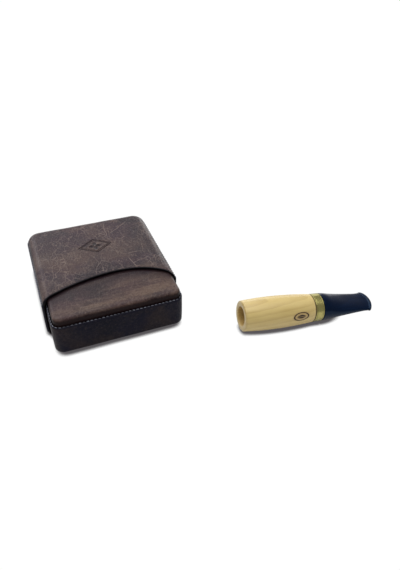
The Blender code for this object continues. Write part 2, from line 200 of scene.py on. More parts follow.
def spreadMouth(points, case):
    # Widens the sleeve evenly from its closed back to its mouth, more on the left than on the right
    share = (case["end"] - points[..., 1]) / case["spreadOver"]
    left, right = case["spread"]
    wider = points.copy()
    wider[..., 0] *= 1 + share * np.where(points[..., 0] < 0, left, right) / case["halfWidth"]
    return wider


def leatherTray(name, tray, body, slotName, material, replaced, front, relief=None, seed=1):
    # facing is the closed end's direction along Y, and upward is +1 for a top half
    facing, upward = tray["facing"], tray["upward"]
    reach = tray["corner"] - tray["fillet"] + tray["fillet"] * math.pi / 2 + tray["wall"]
    widest = tray["halfWidth"] - tray["corner"] + reach
    farthest = tray["end"] - tray["corner"] + reach
    pitch, finePitch = tray["pitch"], tray["finePitch"]
    across = pitched([-widest, -tray["fineX"], tray["fineX"], widest], [pitch, finePitch, pitch])
    along = pitched([tray["level"], tray["fineY"], farthest], [finePitch, pitch])
    sheet, outward, nearest, fold, wall = traySheet(tray, across, along, front)
    flatness = outward[..., 2]
    wave = ripple(sheet[..., 0], sheet[..., 1], tray["ripple"], tray["rippleLength"], seed)
    push = wave * smooth(nearest, 0.0, 4.0)
    press = np.zeros(push.shape)
    if relief is not None:
        press = relief(sheet[..., 0], sheet[..., 1]) * smooth(flatness, 0.97, 1.0)
        push = push - caseSettings["pressDepth"] * press
    sheet = sheet + push[..., None] * outward
    placed = sheet * np.array([1.0, facing, upward]) + np.array([0.0, 0.0, tray["height"]])
    turned = outward * np.array([1.0, facing, upward])
    thickness = tray["thickness"]
    if "spread" in tray:
        wider = spreadMouth(placed, tray)
        thickness = thickness + ((wider - placed) * turned).sum(-1)
        placed = wider
    points, faces, inside = shellOf(placed, turned, thickness, facing * upward)
    count = sheet[..., 0].size
    edge = np.exp(-np.maximum(nearest, 0) / edgeReach)
    layers = {"inside": inside, "edge": overShell(edge, count, len(points)),
              "fold": overShell(fold, count, len(points)), "press": overShell(press, count, len(points)),
              "wall": overShell(wall, count, len(points))}
    layers["press"][2 * count:] = 0
    if "sleeveShadeOver" in tray:
        # painted shade: the lid is darkened where the sleeve's mouth shades it, fading out towards its own
        # front
        forward = thumbCut(points[:, 0]) - points[:, 1]
        layers["covered"] = 1 - smooth(forward, 0, tray["sleeveShadeOver"])
    return newPiece(name, points, faces, body, material, replaced, layers)


def uPath(lengths, path):
    # A point for each length along a U: up the left side, round the closed end and down the right side.
    # Gives x, y and the heading out of the case
    side = path["end"] - path["corner"] - path["leftStart"]
    bend = path["corner"] * math.pi / 2
    middle = 2 * (path["halfWidth"] - path["corner"])
    turnOne = np.clip((lengths - side) / path["corner"], 0, math.pi / 2)
    turnTwo = np.clip((lengths - side - bend - middle) / path["corner"], 0, math.pi / 2)
    turn = turnOne + turnTwo
    rise = np.minimum(lengths, side)
    run = np.clip(lengths - side - bend, 0, middle)
    fall = np.maximum(lengths - side - 2 * bend - middle, 0)
    outX, outY = -np.cos(turn), np.sin(turn)
    x = -path["halfWidth"] + path["corner"] + path["corner"] * outX + run
    y = path["leftStart"] + rise - fall + path["corner"] * outY
    return x, y, outX, outY


def uLength(path):
    # The whole length of the same U
    sides = 2 * (path["end"] - path["corner"]) - path["leftStart"] - path["rightStart"]
    return sides + 2 * (path["halfWidth"] - path["corner"]) + path["corner"] * math.pi


def leatherBelt(name, belt, body, material, replaced, seed):
    # An upright band carried along the U, slightly fuller at mid height, with a round edge all the way about
    half = belt["thickness"] / 2
    lengths = np.linspace(half, uLength(belt) - half, belt["pathSteps"])
    heights = np.linspace(belt["bottom"] + half, belt["top"] - half, belt["heightSteps"])
    x, y, outX, outY = (item[:, None] for item in uPath(lengths, belt))
    share = (heights - belt["bottom"]) / (belt["top"] - belt["bottom"]) * 2 - 1
    full = belt["fullness"] * ((1 - share**2) - 1)[None, :]
    full = full + ripple(lengths[:, None], heights[None, :], belt["ripple"], belt["rippleLength"], seed)
    lean = np.arctan(-4 * belt["fullness"] * share / (belt["top"] - belt["bottom"]))[None, :]
    sheet = np.stack([x + outX * full, y + outY * full, heights[None, :] + 0 * full], -1)
    outward = np.stack([outX * np.cos(lean), outY * np.cos(lean), -np.sin(lean) + 0 * outX], -1)
    sheet = sheet * np.array([1.0, belt["facing"], 1.0])
    outward = outward * np.array([1.0, belt["facing"], 1.0])
    thickness = belt["thickness"]
    if "spread" in belt:
        wider = spreadMouth(sheet, belt)
        thickness = thickness + ((wider - sheet) * outward).sum(-1)
        sheet = wider
    points, faces, inside = shellOf(sheet, outward, thickness, -belt["facing"])
    count = sheet[..., 0].size
    ends = np.minimum(lengths, uLength(belt) - lengths)[:, None]
    nearest = np.minimum(np.minimum(heights - belt["bottom"], belt["top"] - heights)[None, :], ends)
    layers = {"inside": inside, "edge": overShell(np.exp(-nearest / edgeReach), count, len(points)),
              "fold": overShell(0 * nearest, count, len(points)), "press": np.zeros(len(points)),
              "wall": np.zeros(len(points))}
    return newPiece(name, points, faces, body, material, replaced, layers)


def stitchRow(name, row, body, material, replaced, seed):
    # A spindle of thread for each stitch, laid along the U, a little askew and sunk at both ends. No two are
    # quite alike in slant, thickness and length
    draw = np.random.default_rng(seed)
    total = uLength(row)
    count = int(total / row["pitch"])
    centre = (np.arange(count) + 0.5) * total / count
    around, rings = 6, 5
    part = np.linspace(-1, 1, rings + 2)[1:-1]
    angle = np.arange(around) * 2 * math.pi / around
    askew = math.radians(row["askew"]) + draw.normal(0, 0.03, count)
    size = row["radius"] * (1 + draw.normal(0, 0.06, count))
    reach = row["length"] / 2 * (1 + draw.normal(0, 0.04, count))
    place = centre[:, None] + reach[:, None] * part
    x, y, outX, outY = (item[..., None] for item in uPath(place, row))
    thick = (size[:, None] * np.sqrt(1 - part**2 * 0.92))[..., None]
    outwards = np.cos(angle) * thick + (np.sin(askew) * reach)[:, None, None] * part[:, None]
    upwards = np.sin(angle) * thick + row["sink"] * (1 - part**2)[None, :, None]
    spindle = np.stack([x + outX * outwards, (y + outY * outwards) * row["facing"],
                        row["height"] + upwards], -1)
    tips = centre[:, None] + reach[:, None] * np.array([-1.0, 1.0])
    tx, ty, tOutX, tOutY = uPath(tips, row)
    slant = (np.sin(askew) * reach)[:, None] * np.array([-1.0, 1.0])
    ends = np.stack([tx + tOutX * slant, (ty + tOutY * slant) * row["facing"], row["height"] + 0 * tx], -1)
    points = np.concatenate([spindle.reshape(count, -1, 3), ends], 1).reshape(-1, 3)
    if "spread" in row:
        points = spreadMouth(points, row)
    ring = np.arange(rings * around).reshape(rings, around)
    ring = np.concatenate([ring, ring[:, :1]], 1)
    quads = gridQuads(ring).tolist()
    tip = rings * around
    caps = [[int(ring[0, k + 1]), int(ring[0, k]), tip] for k in range(around)]
    caps += [[int(ring[-1, k]), int(ring[-1, k + 1]), tip + 1] for k in range(around)]
    one = caps + [face[::-1] for face in quads]
    step = rings * around + 2
    faces = [[corner + step * k for corner in (face if row["facing"] > 0 else face[::-1])]
             for k in range(count) for face in one]
    return newPiece(name, points, faces, body, material, replaced)


class Wire:
    # One value in a shader. Arithmetic on it adds Math nodes
    def __init__(self, graph, socket):
        self.graph = graph
        self.socket = socket

    def math(self, operation, *inputs):
        return self.graph.node("Math", {"operation": operation}, dict(enumerate(inputs)))

    def __add__(self, other):
        return self.math("ADD", self, other)

    def __sub__(self, other):
        return self.math("SUBTRACT", self, other)

    def __rsub__(self, other):
        return self.math("SUBTRACT", other, self)

    def __mul__(self, other):
        return self.math("MULTIPLY", self, other)

    def __pow__(self, other):
        return self.math("POWER", self, other)

    __radd__ = __add__
    __rmul__ = __mul__

    def __abs__(self):
        return self.math("ABSOLUTE", self)

    def fraction(self):
        return self.math("FRACT", self)

    def most(self, other):
        return self.math("MAXIMUM", self, other)

    def between(self, low, high, first=0.0, last=1.0):
        # Eased from first at low to last at high
        return self.graph.node("MapRange", {"interpolation_type": "SMOOTHSTEP"},
                               {0: self, 1: low, 2: high, 3: first, 4: last})

    def falling(self, low, high):
        # Eased from 1 at low to 0 at high
        return self.between(low, high, 1.0, 0.0)


class Finish:
    # A material whose Principled shader takes plain numbers and wires alike
    def __init__(self, name, **fixed):
        self.material = bpy.data.materials.new(name)
        self.material.use_nodes = True
        self.tree = self.material.node_tree
        self.shader = self.tree.nodes["Principled BSDF"]
        for key, value in fixed.items():
            self.shader.inputs[socketNames.get(key, key)].default_value = value

    def node(self, kind, settings, inputs, output=0):
        made = self.tree.nodes.new("ShaderNode" + kind)
        for key, value in settings.items():
            setattr(made, key, value)
        for key, value in inputs.items():
            if isinstance(value, Wire):
                self.tree.links.new(value.socket, made.inputs[key])
            else:
                made.inputs[key].default_value = value
        return Wire(self, made.outputs[output])

    def place(self):
        return self.node("TexCoord", {}, {}, "Object")

    def layer(self, name):
        return self.node("Attribute", {"attribute_name": name}, {}, "Fac")

    def noise(self, vector, scale, detail=3.0, rough=0.5, twist=0.0):
        return self.node("TexNoise", {}, {"Vector": vector, "Scale": scale, "Detail": detail,
                                          "Roughness": rough, "Distortion": twist})

    def cells(self, vector, scale, feature="F1"):
        return self.node("TexVoronoi", {"feature": feature}, {"Vector": vector, "Scale": scale}, "Distance")

    def stretch(self, vector, scale, turn=(0.0, 0.0, 0.0), shift=(0.0, 0.0, 0.0), kind="POINT"):
        return self.node("Mapping", {"vector_type": kind}, {"Vector": vector, "Location": shift,
                                                            "Rotation": turn, "Scale": scale})

    def warp(self, vector, scale, amount):
        # Moves each place a little, by a coloured noise
        push = self.node("TexNoise", {}, {"Vector": vector, "Scale": scale, "Detail": 2.0}, "Color")
        centred = self.node("VectorMath", {"operation": "SUBTRACT"}, {0: push, 1: (0.5, 0.5, 0.5)})
        scaled = self.node("VectorMath", {"operation": "SCALE"}, {0: centred, "Scale": amount})
        return self.node("VectorMath", {"operation": "ADD"}, {0: vector, 1: scaled})

    def part(self, vector, axis):
        return self.node("SeparateXYZ", {}, {0: vector}, axis)

    def mix(self, mask, first, second, kind="MIX"):
        settings = {"data_type": "RGBA", "blend_type": kind, "clamp_factor": True}
        colours = [(*item, 1.0) if isinstance(item, tuple) else item for item in (first, second)]
        return self.node("Mix", settings, {0: mask, 6: colours[0], 7: colours[1]}, 2)

    def finish(self, colour, roughness, height, depth, **varying):
        # depth is the relief's in millimetres
        self.join("Base Color", colour)
        self.join("Roughness", roughness)
        for key, value in varying.items():
            self.join(socketNames.get(key, key), value)
        bump = self.node("Bump", {}, {"Strength": 1.0, "Distance": depth * mm, "Height": height})
        self.join("Normal", bump)
        return self.material

    def join(self, socket, value):
        if isinstance(value, Wire):
            self.tree.links.new(value.socket, self.shader.inputs[socket])
        elif isinstance(value, tuple):
            self.shader.inputs[socket].default_value = (*value, 1.0)
        else:
            self.shader.inputs[socket].default_value = value


socketNames = {"metallic": "Metallic", "coat": "Coat Weight", "coatRough": "Coat Roughness",
               "specular": "Specular IOR Level", "sheen": "Sheen Weight", "sheenRough": "Sheen Roughness"}


def hideCreases(finish, place, look):
    # Borders between cells of bent space, drawn out along the case and broken up by a noise, at each size.
    # Over them the long creases, straight lines in bent space that fade towards their ends
    crease = None
    for size, bend, width, part, shift in look["creases"]:
        bent = finish.warp(place, size * 0.55, bend)
        drawn = finish.stretch(bent, (1.0, 0.46, 1.0), shift=(shift, shift, 0.0))
        moved = finish.stretch(place, (1.0, 1.0, 1.0), shift=(shift, 0.0, 0.0))
        broken = finish.noise(moved, size * 0.35, 2.0, 0.5).between(0.43, 0.57)
        line = finish.cells(drawn, size, "DISTANCE_TO_EDGE").falling(0.0, width) * broken * part
        crease = line if crease is None else crease.most(line)
    across, deep = (finish.part(finish.warp(place, 160.0, 0.0022), axis) for axis in "XY")
    for middleX, middleY, angle, half in look["longCreases"]:
        cosine, sine = math.cos(math.radians(angle)), math.sin(math.radians(angle))
        offX, offY = across - middleX * mm, deep - middleY * mm
        beside = abs(offY * cosine - offX * sine).falling(0.0, 0.00042)
        within = abs(offX * cosine + offY * sine).falling(half * 0.7 * mm, half * mm)
        crease = crease.most(beside * within)
    return crease * look["crease"]


def leatherFinish(name, look):
    # Mottled and waxed: cloudy colour, pale creases where the hide was pulled, fine pores, dyed cut edges
    finish = Finish(name, specular=look["specular"], coatRough=look["coatRough"])
    place = finish.place()
    cloud = finish.noise(place, 42.0, 4.0, 0.55, 0.6).between(0.38, 0.62)
    drawn = finish.stretch(place, look["drawn"], shift=(3.1, 0.7, 0.2))
    patch = finish.noise(drawn, 30.0, 4.0, 0.6, 0.4).between(0.42, 0.66)
    speck = finish.noise(place, 620.0, 4.0, 0.75)
    colour = finish.mix(cloud, look["dark"], look["mid"])
    colour = finish.mix(patch * look["patch"], colour, look["warm"])
    line = hideCreases(finish, place, look)
    colour = finish.mix(line, colour, look["pale"])
    colour = finish.mix(speck.between(0.52, 0.68) * look["fleck"], colour, look["pale"])
    colour = finish.mix(speck.falling(0.32, 0.48) * 0.55, colour, look["dark"])
    # rubbed folds, painted shade on the lid under the sleeve's mouth and on the upright walls, pressed marks,
    # dyed cut edges and the rough inner side
    fold, edge, press, inside = (finish.layer(item) for item in ("fold", "edge", "press", "inside"))
    rub = fold * finish.noise(place, 180.0, 3.0, 0.6).between(0.35, 0.65) * look["rub"]
    colour = finish.mix(rub, colour, look["pale"])
    # painted shade: the lid darkened under the sleeve's mouth
    colour = finish.mix(finish.layer("covered") * 0.80, colour, look["covered"])
    # painted shade: the upright walls darkened
    colour = finish.mix(finish.layer("wall") * look["wallShade"], colour, look["wall"])
    colour = finish.mix(press * 0.95, colour, look["pressed"])
    colour = finish.mix(edge ** 4.0, colour, look["edge"])
    nap = finish.noise(place, 1400.0, 4.0, 0.7)
    suede = finish.mix(nap, look["innerDark"], look["inner"])
    colour = finish.mix(inside, colour, suede)
    pore = finish.cells(finish.warp(place, 700.0, 0.0006), 1250.0)
    grain = pore.between(0.05, 0.75) * 0.6 + finish.noise(place, 2600.0, 3.0, 0.6) * 0.4
    wrinkle = finish.noise(finish.stretch(place, (1.0, 0.45, 1.0), turn=(0.0, 0.0, 0.5)), 420.0, 3.0, 0.55)
    height = grain * look["grain"] + wrinkle * look["wrinkle"] - line * 0.25
    height = height * (1.0 - edge * 0.8) * (1.0 - inside) + nap * inside * 0.8
    rough = look["rough"] + (cloud - 0.5) * 0.10 + (speck - 0.5) * 0.18 - line * 0.06
    rough = rough - press * 0.10 - edge * 0.06
    rough = rough + inside * 0.5
    coat = look["coat"] * (1.0 - inside) * (1.0 - line * 0.5)
    return finish.finish(colour, rough, height, 0.20, coat=coat)


sleeveLook = {
    "dark": (0.0098, 0.0043, 0.0075), "mid": (0.0215, 0.0108, 0.0158),
    "warm": (0.043, 0.025, 0.021), "pale": (0.125, 0.088, 0.074),
    "pressed": (0.004, 0.0018, 0.004), "edge": (0.0016, 0.0012, 0.0028),
    "inner": (0.012, 0.007, 0.006), "innerDark": (0.005, 0.003, 0.003),
    # painted shade: the upright walls, and the lid where the sleeve's mouth shades it, get these dark colours
    "wall": (0.008, 0.005, 0.008), "wallShade": 0.7, "covered": (0.0095, 0.0045, 0.0072),
    "drawn": (1.0, 1.4, 1.0),  # how the cloudy patches are drawn out
    # cells in a metre, bend, width, strength and shift of each size of crease
    "creases": ((70.0, 0.012, 0.012, 0.75, 0.31), (160.0, 0.006, 0.024, 0.85, 1.7),
                (360.0, 0.003, 0.050, 0.60, 2.9)),
    # middle, angle and half length of each long crease, in mm and degrees
    "longCreases": ((20.5, 33.0, 36.0, 9.6), (10.8, 33.0, 87.0, 9.0), (19.3, -13.0, -77.0, 10.0)),
    "patch": 0.85, "crease": 0.70, "fleck": 0.30, "rub": 0.25, "grain": 0.8, "wrinkle": 0.6,
    "rough": 0.43, "coat": 0.0, "coatRough": 0.35, "specular": 0.09,
}
boxLook = dict(
    sleeveLook, dark=(0.0095, 0.0040, 0.0062), mid=(0.026, 0.0126, 0.0148), warm=(0.074, 0.046, 0.033),
    # painted shade on the lid's upright walls: the dark red-black wall colour
    wall=(0.008, 0.0026, 0.0030), wallShade=0.96, drawn=(0.40, 2.1, 1.0), crease=0.36, longCreases=(),
    rough=0.39,
)
beltLook = dict(
    sleeveLook, dark=(0.0019, 0.0018, 0.0080), mid=(0.0047, 0.0041, 0.0132), warm=(0.020, 0.013, 0.013),
    pale=(0.045, 0.034, 0.034), edge=(0.010, 0.010, 0.018), crease=0.25, fleck=0.40, rub=0.2, rough=0.40,
    longCreases=(), specular=0.075,
)

sleeveLeather = leatherFinish("sleeveLeather", sleeveLook)
boxLeather = leatherFinish("boxLeather", boxLook)
beltLeather = leatherFinish("beltLeather", beltLook)
print("leather finishes mixed")


def suedeFinish(name, look):
    # Short nap: two browns, brushed in soft streaks, with a sheen
    finish = Finish(name, sheen=look["sheen"], sheenRough=0.5, specular=0.2)
    place = finish.place()
    nap = finish.noise(place, 1500.0, 4.0, 0.7)
    brushed = finish.noise(finish.stretch(place, (1.0, 0.25, 1.0)), 90.0, 3.0, 0.6).between(0.35, 0.7)
    colour = finish.mix(brushed, look["dark"], look["light"])
    colour = finish.mix(nap * 0.4, colour, look["dark"])
    return finish.finish(colour, 0.92, nap, 0.15)


def threadFinish(name, look):
    # Twisted and waxed: slanting plies, with painted shade between the strands
    finish = Finish(name, specular=0.4)
    place = finish.place()
    ply = finish.node("TexWave", {"wave_type": "BANDS", "bands_direction": "DIAGONAL"},
                      {"Vector": place, "Scale": 900.0, "Distortion": 1.5, "Detail": 2.0})
    dirt = finish.noise(place, 220.0, 3.0, 0.6).between(0.3, 0.7)
    colour = finish.mix(dirt, look["dark"], look["light"])
    colour = finish.mix(ply * 0.35, colour, look["dark"])
    return finish.finish(colour, 0.55 - dirt * 0.1, ply, 0.05)


suedeLook = {"dark": (0.075, 0.043, 0.028), "light": (0.155, 0.098, 0.066), "sheen": 0.3}
# the thread's pale blue-grey is its colour and partly a painted highlight, so that the seam reads as a lit
# line
threadLook = {"dark": (0.030, 0.030, 0.042), "light": (0.20, 0.21, 0.26)}
liningSuede = suedeFinish("liningSuede", suedeLook)
seamThread = threadFinish("seamThread", threadLook)


def fromBox(node, axis, high):
    # One side of a CAD node's box, in millimetres
    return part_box(node)[high][axis] / mm


leatherThickness = 1.2
caseSettings = {
    # in plan, the four points of the crescent's cubic
    "thumbCut": ((-40.0, -27.0), (-18.0, -15.7), (21.0, -6.0), (40.0, -29.0)),
    "sleeveCorner": 9.0, "boxBeltCorner": 6.0, "boxCorner": 4.5, "pressDepth": 0.40,
    "spread": (0.8, 0.0), "spreadOver": 77.3,
}
# what all four halves, both belts and both rows of stitches share
traySettings = {"thickness": leatherThickness, "level": 0.0, "ripple": 0.05, "rippleLength": 22.0}
beltSettings = {"thickness": leatherThickness, "heightSteps": 26, "fullness": 0.12, "ripple": 0.03,
                "rippleLength": 16.0}
stitchSettings = {"pitch": 2.3, "length": 1.85, "askew": 6.0}
# the pressed ornament: its middle, its reach along the case, its width against its length, and its petals
motifSettings = {"middle": (0.0, 16.0), "reach": 7.6, "wide": 1.45, "innerLine": 1.3, "petalAt": 2.5,
                 "petalLength": 2.1, "petalWidth": 1.1, "vein": 0.8}


def band(distance, half, soft=0.16):
    # 1 on a line of that half width, 0 off it
    return 1 - smooth(np.abs(distance), half - soft, half + soft)


def leafShape(x, y, length, width):
    # How far inside an almond leaf a place is, with its tip up: positive inside
    share = np.clip(y / length, -1, 1)
    beyond = np.maximum(np.abs(y) - length, 0)
    return width * (1 - share**2) * (1 - 0.25 * share) - np.abs(x) - beyond


def pressedMotif(x, y):
    # A plain lozenge, drawn twice, with a four-petalled flower in it
    motif = motifSettings
    u, v = x - motif["middle"][0], y - motif["middle"][1]
    past = np.abs(u) / motif["wide"] + np.abs(v) - motif["reach"]
    mark = np.maximum(band(past, 0.34), band(past + motif["innerLine"], 0.20, 0.12))
    for quarter in range(4):
        angle = math.radians(90 * quarter)
        outward = u * math.cos(angle) + v * math.sin(angle) - motif["petalAt"]
        beside = v * math.cos(angle) - u * math.sin(angle)
        petal = smooth(leafShape(beside, outward, motif["petalLength"], motif["petalWidth"]), -0.12, 0.12)
        mark = np.maximum(mark, petal * (1 - motif["vein"] * band(beside, 0.16, 0.12)))
    return mark


def buildSleeve():
    # The case's own measures come from the CAD pieces' boxes
    case = caseSettings
    beltWidth, beltEnd = fromBox("sleeve_belt", 0, 1), fromBox("sleeve_belt", 1, 1)
    inset = beltEnd - fromBox("sleeve_upper_shell", 1, 1)
    mouth = {"spread": case["spread"], "spreadOver": case["spreadOver"]}
    common = dict(traySettings, halfWidth=beltWidth - inset, end=beltEnd - inset, facing=1.0,
                  corner=case["sleeveCorner"] - inset, frontSteps=34, fineX=25.0, fineY=33.0, wall=0.02,
                  **mouth)
    top = fromBox("sleeve_upper_shell", 2, 1)
    upper = dict(common, upward=1.0, height=top, fillet=5.0, pitch=0.62, finePitch=0.30)
    lower = dict(common, upward=-1.0, height=0.0, fillet=3.6, pitch=1.0, finePitch=1.0)

    def cut(x):
        return thumbCut(x) + leatherThickness / 2

    wear = ("sleeve", "sleeve_leather", sleeveLeather)
    leatherTray("sleeveUpperHalf", upper, *wear, ["sleeve_upper_shell"], cut, pressedMotif, 3)
    leatherTray("sleeveLowerHalf", lower, *wear, ["sleeve_lower_shell"], cut, None, 5)
    belt = dict(beltSettings, halfWidth=beltWidth, end=beltEnd, corner=case["sleeveCorner"], facing=1.0,
                leftStart=case["thumbCut"][0][1], rightStart=case["thumbCut"][3][1], pathSteps=360,
                bottom=fromBox("sleeve_belt", 2, 0), top=fromBox("sleeve_belt", 2, 1), **mouth)
    leatherBelt("sleeveBelt", belt, "sleeve", beltLeather, ["sleeve_belt"], 7)
    inwards = 0.4  # how far the stitches lie in from the belt's face
    row = dict(belt, **stitchSettings)
    row.update(halfWidth=beltWidth - inwards, end=beltEnd - inwards, corner=belt["corner"] - inwards,
               radius=0.25, sink=0.10, height=belt["top"] + 0.02)
    stitchRow("sleeveStitches", row, "sleeve", seamThread, ["sleeve_seam_thread"], 11)
    print("sleeve built")


def buildBox():
    # The closed end faces the front, so the layout runs the other way
    case = caseSettings
    half = leatherThickness / 2
    fillet = 1.8
    common = dict(traySettings, halfWidth=fromBox("box_upper_shell", 0, 1), corner=case["boxCorner"],
                  end=-fromBox("box_upper_shell", 1, 0), fillet=fillet, facing=-1.0, frontSteps=40,
                  fineX=20.0, fineY=20.0)
    wall = {name: fromBox(name, 2, 1) - fromBox(name, 2, 0) - fillet - half
            for name in ("box_upper_shell", "box_lower_shell")}
    # the upper half carries the painted shade from the sleeve's mouth, fading out over 14 mm towards its
    # front
    upper = dict(common, upward=1.0, height=fromBox("box_upper_shell", 2, 1), pitch=0.8, finePitch=0.8,
                 wall=wall["box_upper_shell"], sleeveShadeOver=14.0)
    lower = dict(common, upward=-1.0, height=fromBox("box_lower_shell", 2, 0), pitch=1.0, finePitch=1.0,
                 wall=wall["box_lower_shell"])
    rear = fromBox("box_upper_shell", 1, 1)

    def straight(x):
        return np.full(np.shape(x), -rear + half)

    wear = ("box", "box_leather", boxLeather)
    leatherTray("boxUpperHalf", upper, *wear, ["box_upper_shell"], straight, None, 13)
    leatherTray("boxLowerHalf", lower, *wear, ["box_lower_shell"], straight, None, 17)
    beltRear = -fromBox("box_belt", 1, 1)
    belt = dict(beltSettings, halfWidth=fromBox("box_belt", 0, 1), end=-fromBox("box_belt", 1, 0),
                corner=case["boxBeltCorner"], facing=-1.0, leftStart=beltRear, rightStart=beltRear,
                bottom=fromBox("box_belt", 2, 0), top=fromBox("box_belt", 2, 1), pathSteps=380)
    leatherBelt("boxBelt", belt, "box", beltLeather, ["box_belt"], 19)
    inwards = 0.75  # how far the stitches lie in from the belt's face
    row = dict(belt, **stitchSettings)
    row.update(halfWidth=belt["halfWidth"] - inwards, end=belt["end"] - inwards,
               corner=belt["corner"] - inwards, radius=0.27, sink=0.12, height=belt["top"] + 0.12)
    stitchRow("boxStitches", row, "box", seamThread, ["box_seam_thread"], 23)
    frame["nodes"]["box_lining"].data.materials.clear()
    frame["nodes"]["box_lining"].data.materials.append(liningSuede)
    print("box built")


buildSleeve()
buildBox()


def holderFrame():
    # The axis runs with the stem's joint, through the middle of the barrel's points, from the mouth
    joint = next(item for item in frame["joints"] if item["name"] == "stem_pull")
    axis = np.array(joint["axis"], float)
    axis /= np.linalg.norm(axis)
    mesh = frame["nodes"]["holder_barrel"].data
    points = np.empty(len(mesh.vertices) * 3, np.float32)
    mesh.vertices.foreach_get("co", points)
    points = points.reshape(-1, 3).astype(float) / mm
    middle = points.mean(0)
    mouth = middle + axis * ((points @ axis).min() - middle @ axis)
    away = np.cross([0.0, 0.0, 1.0], axis)
    away /= np.linalg.norm(away)
    down = np.cross(away, axis)
    return mouth, np.stack([down, away, axis])


holderMouth, holderAxes = holderFrame()
holderTurn = Matrix(holderAxes.T.tolist()).to_euler()


def outwards(points, faces):
    # Turns all faces of a closed shape round if its volume comes out negative
    corners = points[faces]
    volume = (np.cross(corners[:, 0], corners[:, 1]) * corners[:, 2]).sum()
    volume += (np.cross(corners[:, 0], corners[:, 2]) * corners[:, 3]).sum()
    return faces if volume > 0 else faces[:, ::-1]


def rounded(corners, steps=4):
    # A run of corners (radius, place, size of round), each replaced by a parabola between its two sides
    spots = np.array([corner[:2] for corner in corners], float)
    made = []
    for number in range(1, len(spots) - 1):
        here, size = spots[number], corners[number][2]
        ends = [here + (spots[other] - here) * min(size / np.linalg.norm(spots[other] - here), 0.5)
                for other in (number - 1, number + 1)]
        t = np.linspace(0, 1, steps + 1)[:, None]
        made.append((1 - t)**2 * ends[0] + 2 * (1 - t) * t * here + t**2 * ends[1])
    return np.concatenate(made)


def closedPiece(name, grid, body, material, replaced, sharpAngle):
    # A grid of rings, each closed, whose last ring joins the first
    index = np.arange(grid.shape[0] * grid.shape[1]).reshape(grid.shape[:2])
    index = np.concatenate([index, index[:1]])
    index = np.concatenate([index, index[:, :1]], 1)
    points = grid.reshape(-1, 3)
    piece = newPiece(name, points, outwards(points, gridQuads(index)), body, material, replaced)
    piece.data.set_sharp_from_angle(angle=math.radians(sharpAngle))


def turnedPiece(name, profile, body, material, replaced, steps):
    # A closed outline of radius and place, carried round the holder's axis
    angle = np.arange(steps) * 2 * math.pi / steps
    down, away, axis = holderAxes
    ray = np.cos(angle)[:, None] * down + np.sin(angle)[:, None] * away
    grid = holderMouth + profile[:, 0, None, None] * ray + profile[:, 1, None, None] * axis
    closedPiece(name, grid, body, material, replaced, 40)


barrelSettings = {
    "mouth": 9.75, "belly": 10.7, "neck": 9.15, "bellyAt": 20.3, "length": 48.2, "rim": 1.4, "lip": 0.8,
    "socket": 6.1, "socketEnd": 5.8, "socketDepth": 26.0, "cone": 3.0, "smoke": 1.6,
    "mortise": 4.4, "mortiseStart": 42.0, "spigot": 8.35, "spigotEnd": 54.0, "toolMark": 0.012,
}


def barrelRadius(place, barrel):
    # A parabola on each side of the belly
    before = barrel["belly"] - (barrel["belly"] - barrel["mouth"]) * (1 - place / barrel["bellyAt"])**2
    past = (place - barrel["bellyAt"]) / (barrel["length"] - barrel["bellyAt"])
    after = barrel["belly"] - (barrel["belly"] - barrel["neck"]) * past**2
    return np.where(place < barrel["bellyAt"], before, after)


def buildBarrel(material):
    # The outside with its faint tool marks, then round the rim, down the bore and back over the spigot
    barrel = barrelSettings
    place = np.linspace(barrel["length"] - 0.25, barrel["rim"], 110)
    toolMarks = barrel["toolMark"] * np.sin(place * 2.1 + np.sin(place))
    outside = np.stack([barrelRadius(place, barrel) + toolMarks, place], -1)
    mouth = float(barrelRadius(np.array(barrel["rim"]), barrel))
    coneEnd = barrel["socketDepth"] + barrel["cone"]
    rest = rounded([
        (mouth, barrel["rim"] + 0.1, 0), (mouth - 0.05, 0.0, barrel["rim"]),
        (barrel["socket"], 0.0, barrel["lip"]), (barrel["socketEnd"], barrel["socketDepth"], 0.4),
        (barrel["smoke"], coneEnd, 0.2), (barrel["smoke"], barrel["mortiseStart"], 0.1),
        (barrel["mortise"], barrel["mortiseStart"], 0.1), (barrel["mortise"], barrel["spigotEnd"], 0.3),
        (barrel["spigot"], barrel["spigotEnd"], 0.3), (barrel["spigot"], barrel["length"], 0.1),
        (barrel["neck"], barrel["length"], 0.25), (barrel["neck"], barrel["length"] - 0.5, 0),
    ])
    outline = np.concatenate([outside, rest])
    turnedPiece("holderBarrel", outline, "holder", material, ["holder_barrel"], 128)


ringSettings = {"radius": 9.2, "start": 48.5, "end": 54.1, "wall": 0.6, "round": 0.28, "groove": 0.06}
grooves = (ringSettings["start"] + 0.75, ringSettings["end"] - 0.75)


def buildRing(material):
    # A band with rounded shoulders and a shallow turned line near each edge
    ring = ringSettings
    radius, start, end = ring["radius"], ring["start"], ring["end"]
    inner = radius - ring["wall"]
    flat = np.linspace(end - 0.4, start + 0.4, 60)
    lines = sum(np.exp(-((flat - at) / 0.09)**2) for at in grooves)
    face = np.stack([radius - ring["groove"] * lines, flat], -1)
    rest = rounded([
        (radius, start + 0.45, 0), (radius, start, ring["round"]), (inner, start, 0.08),
        (inner, end, 0.08), (radius, end, ring["round"]), (radius, end - 0.45, 0),
    ])
    outline = np.concatenate([face, rest])
    turnedPiece("holderRing", outline, "holder", material, ["holder_ring"], 128)


tenonSettings = {"radius": 4.2, "start": 42.6, "end": 61.0, "bore": 1.6, "lead": 0.5}


def buildTenon(material):
    # A tube with rounded ends
    tenon = tenonSettings
    start, end = tenon["start"], tenon["end"]
    outline = rounded([
        (tenon["bore"], start + 2, 0), (tenon["bore"], start, 0.2),
        (tenon["radius"], start, tenon["lead"]),
        (tenon["radius"], end, tenon["lead"]), (tenon["bore"], end, 0.2), (tenon["bore"], end - 2, 0),
    ])
    turnedPiece("stemTenon", outline, "stem", material, ["stem_tenon"], 64)


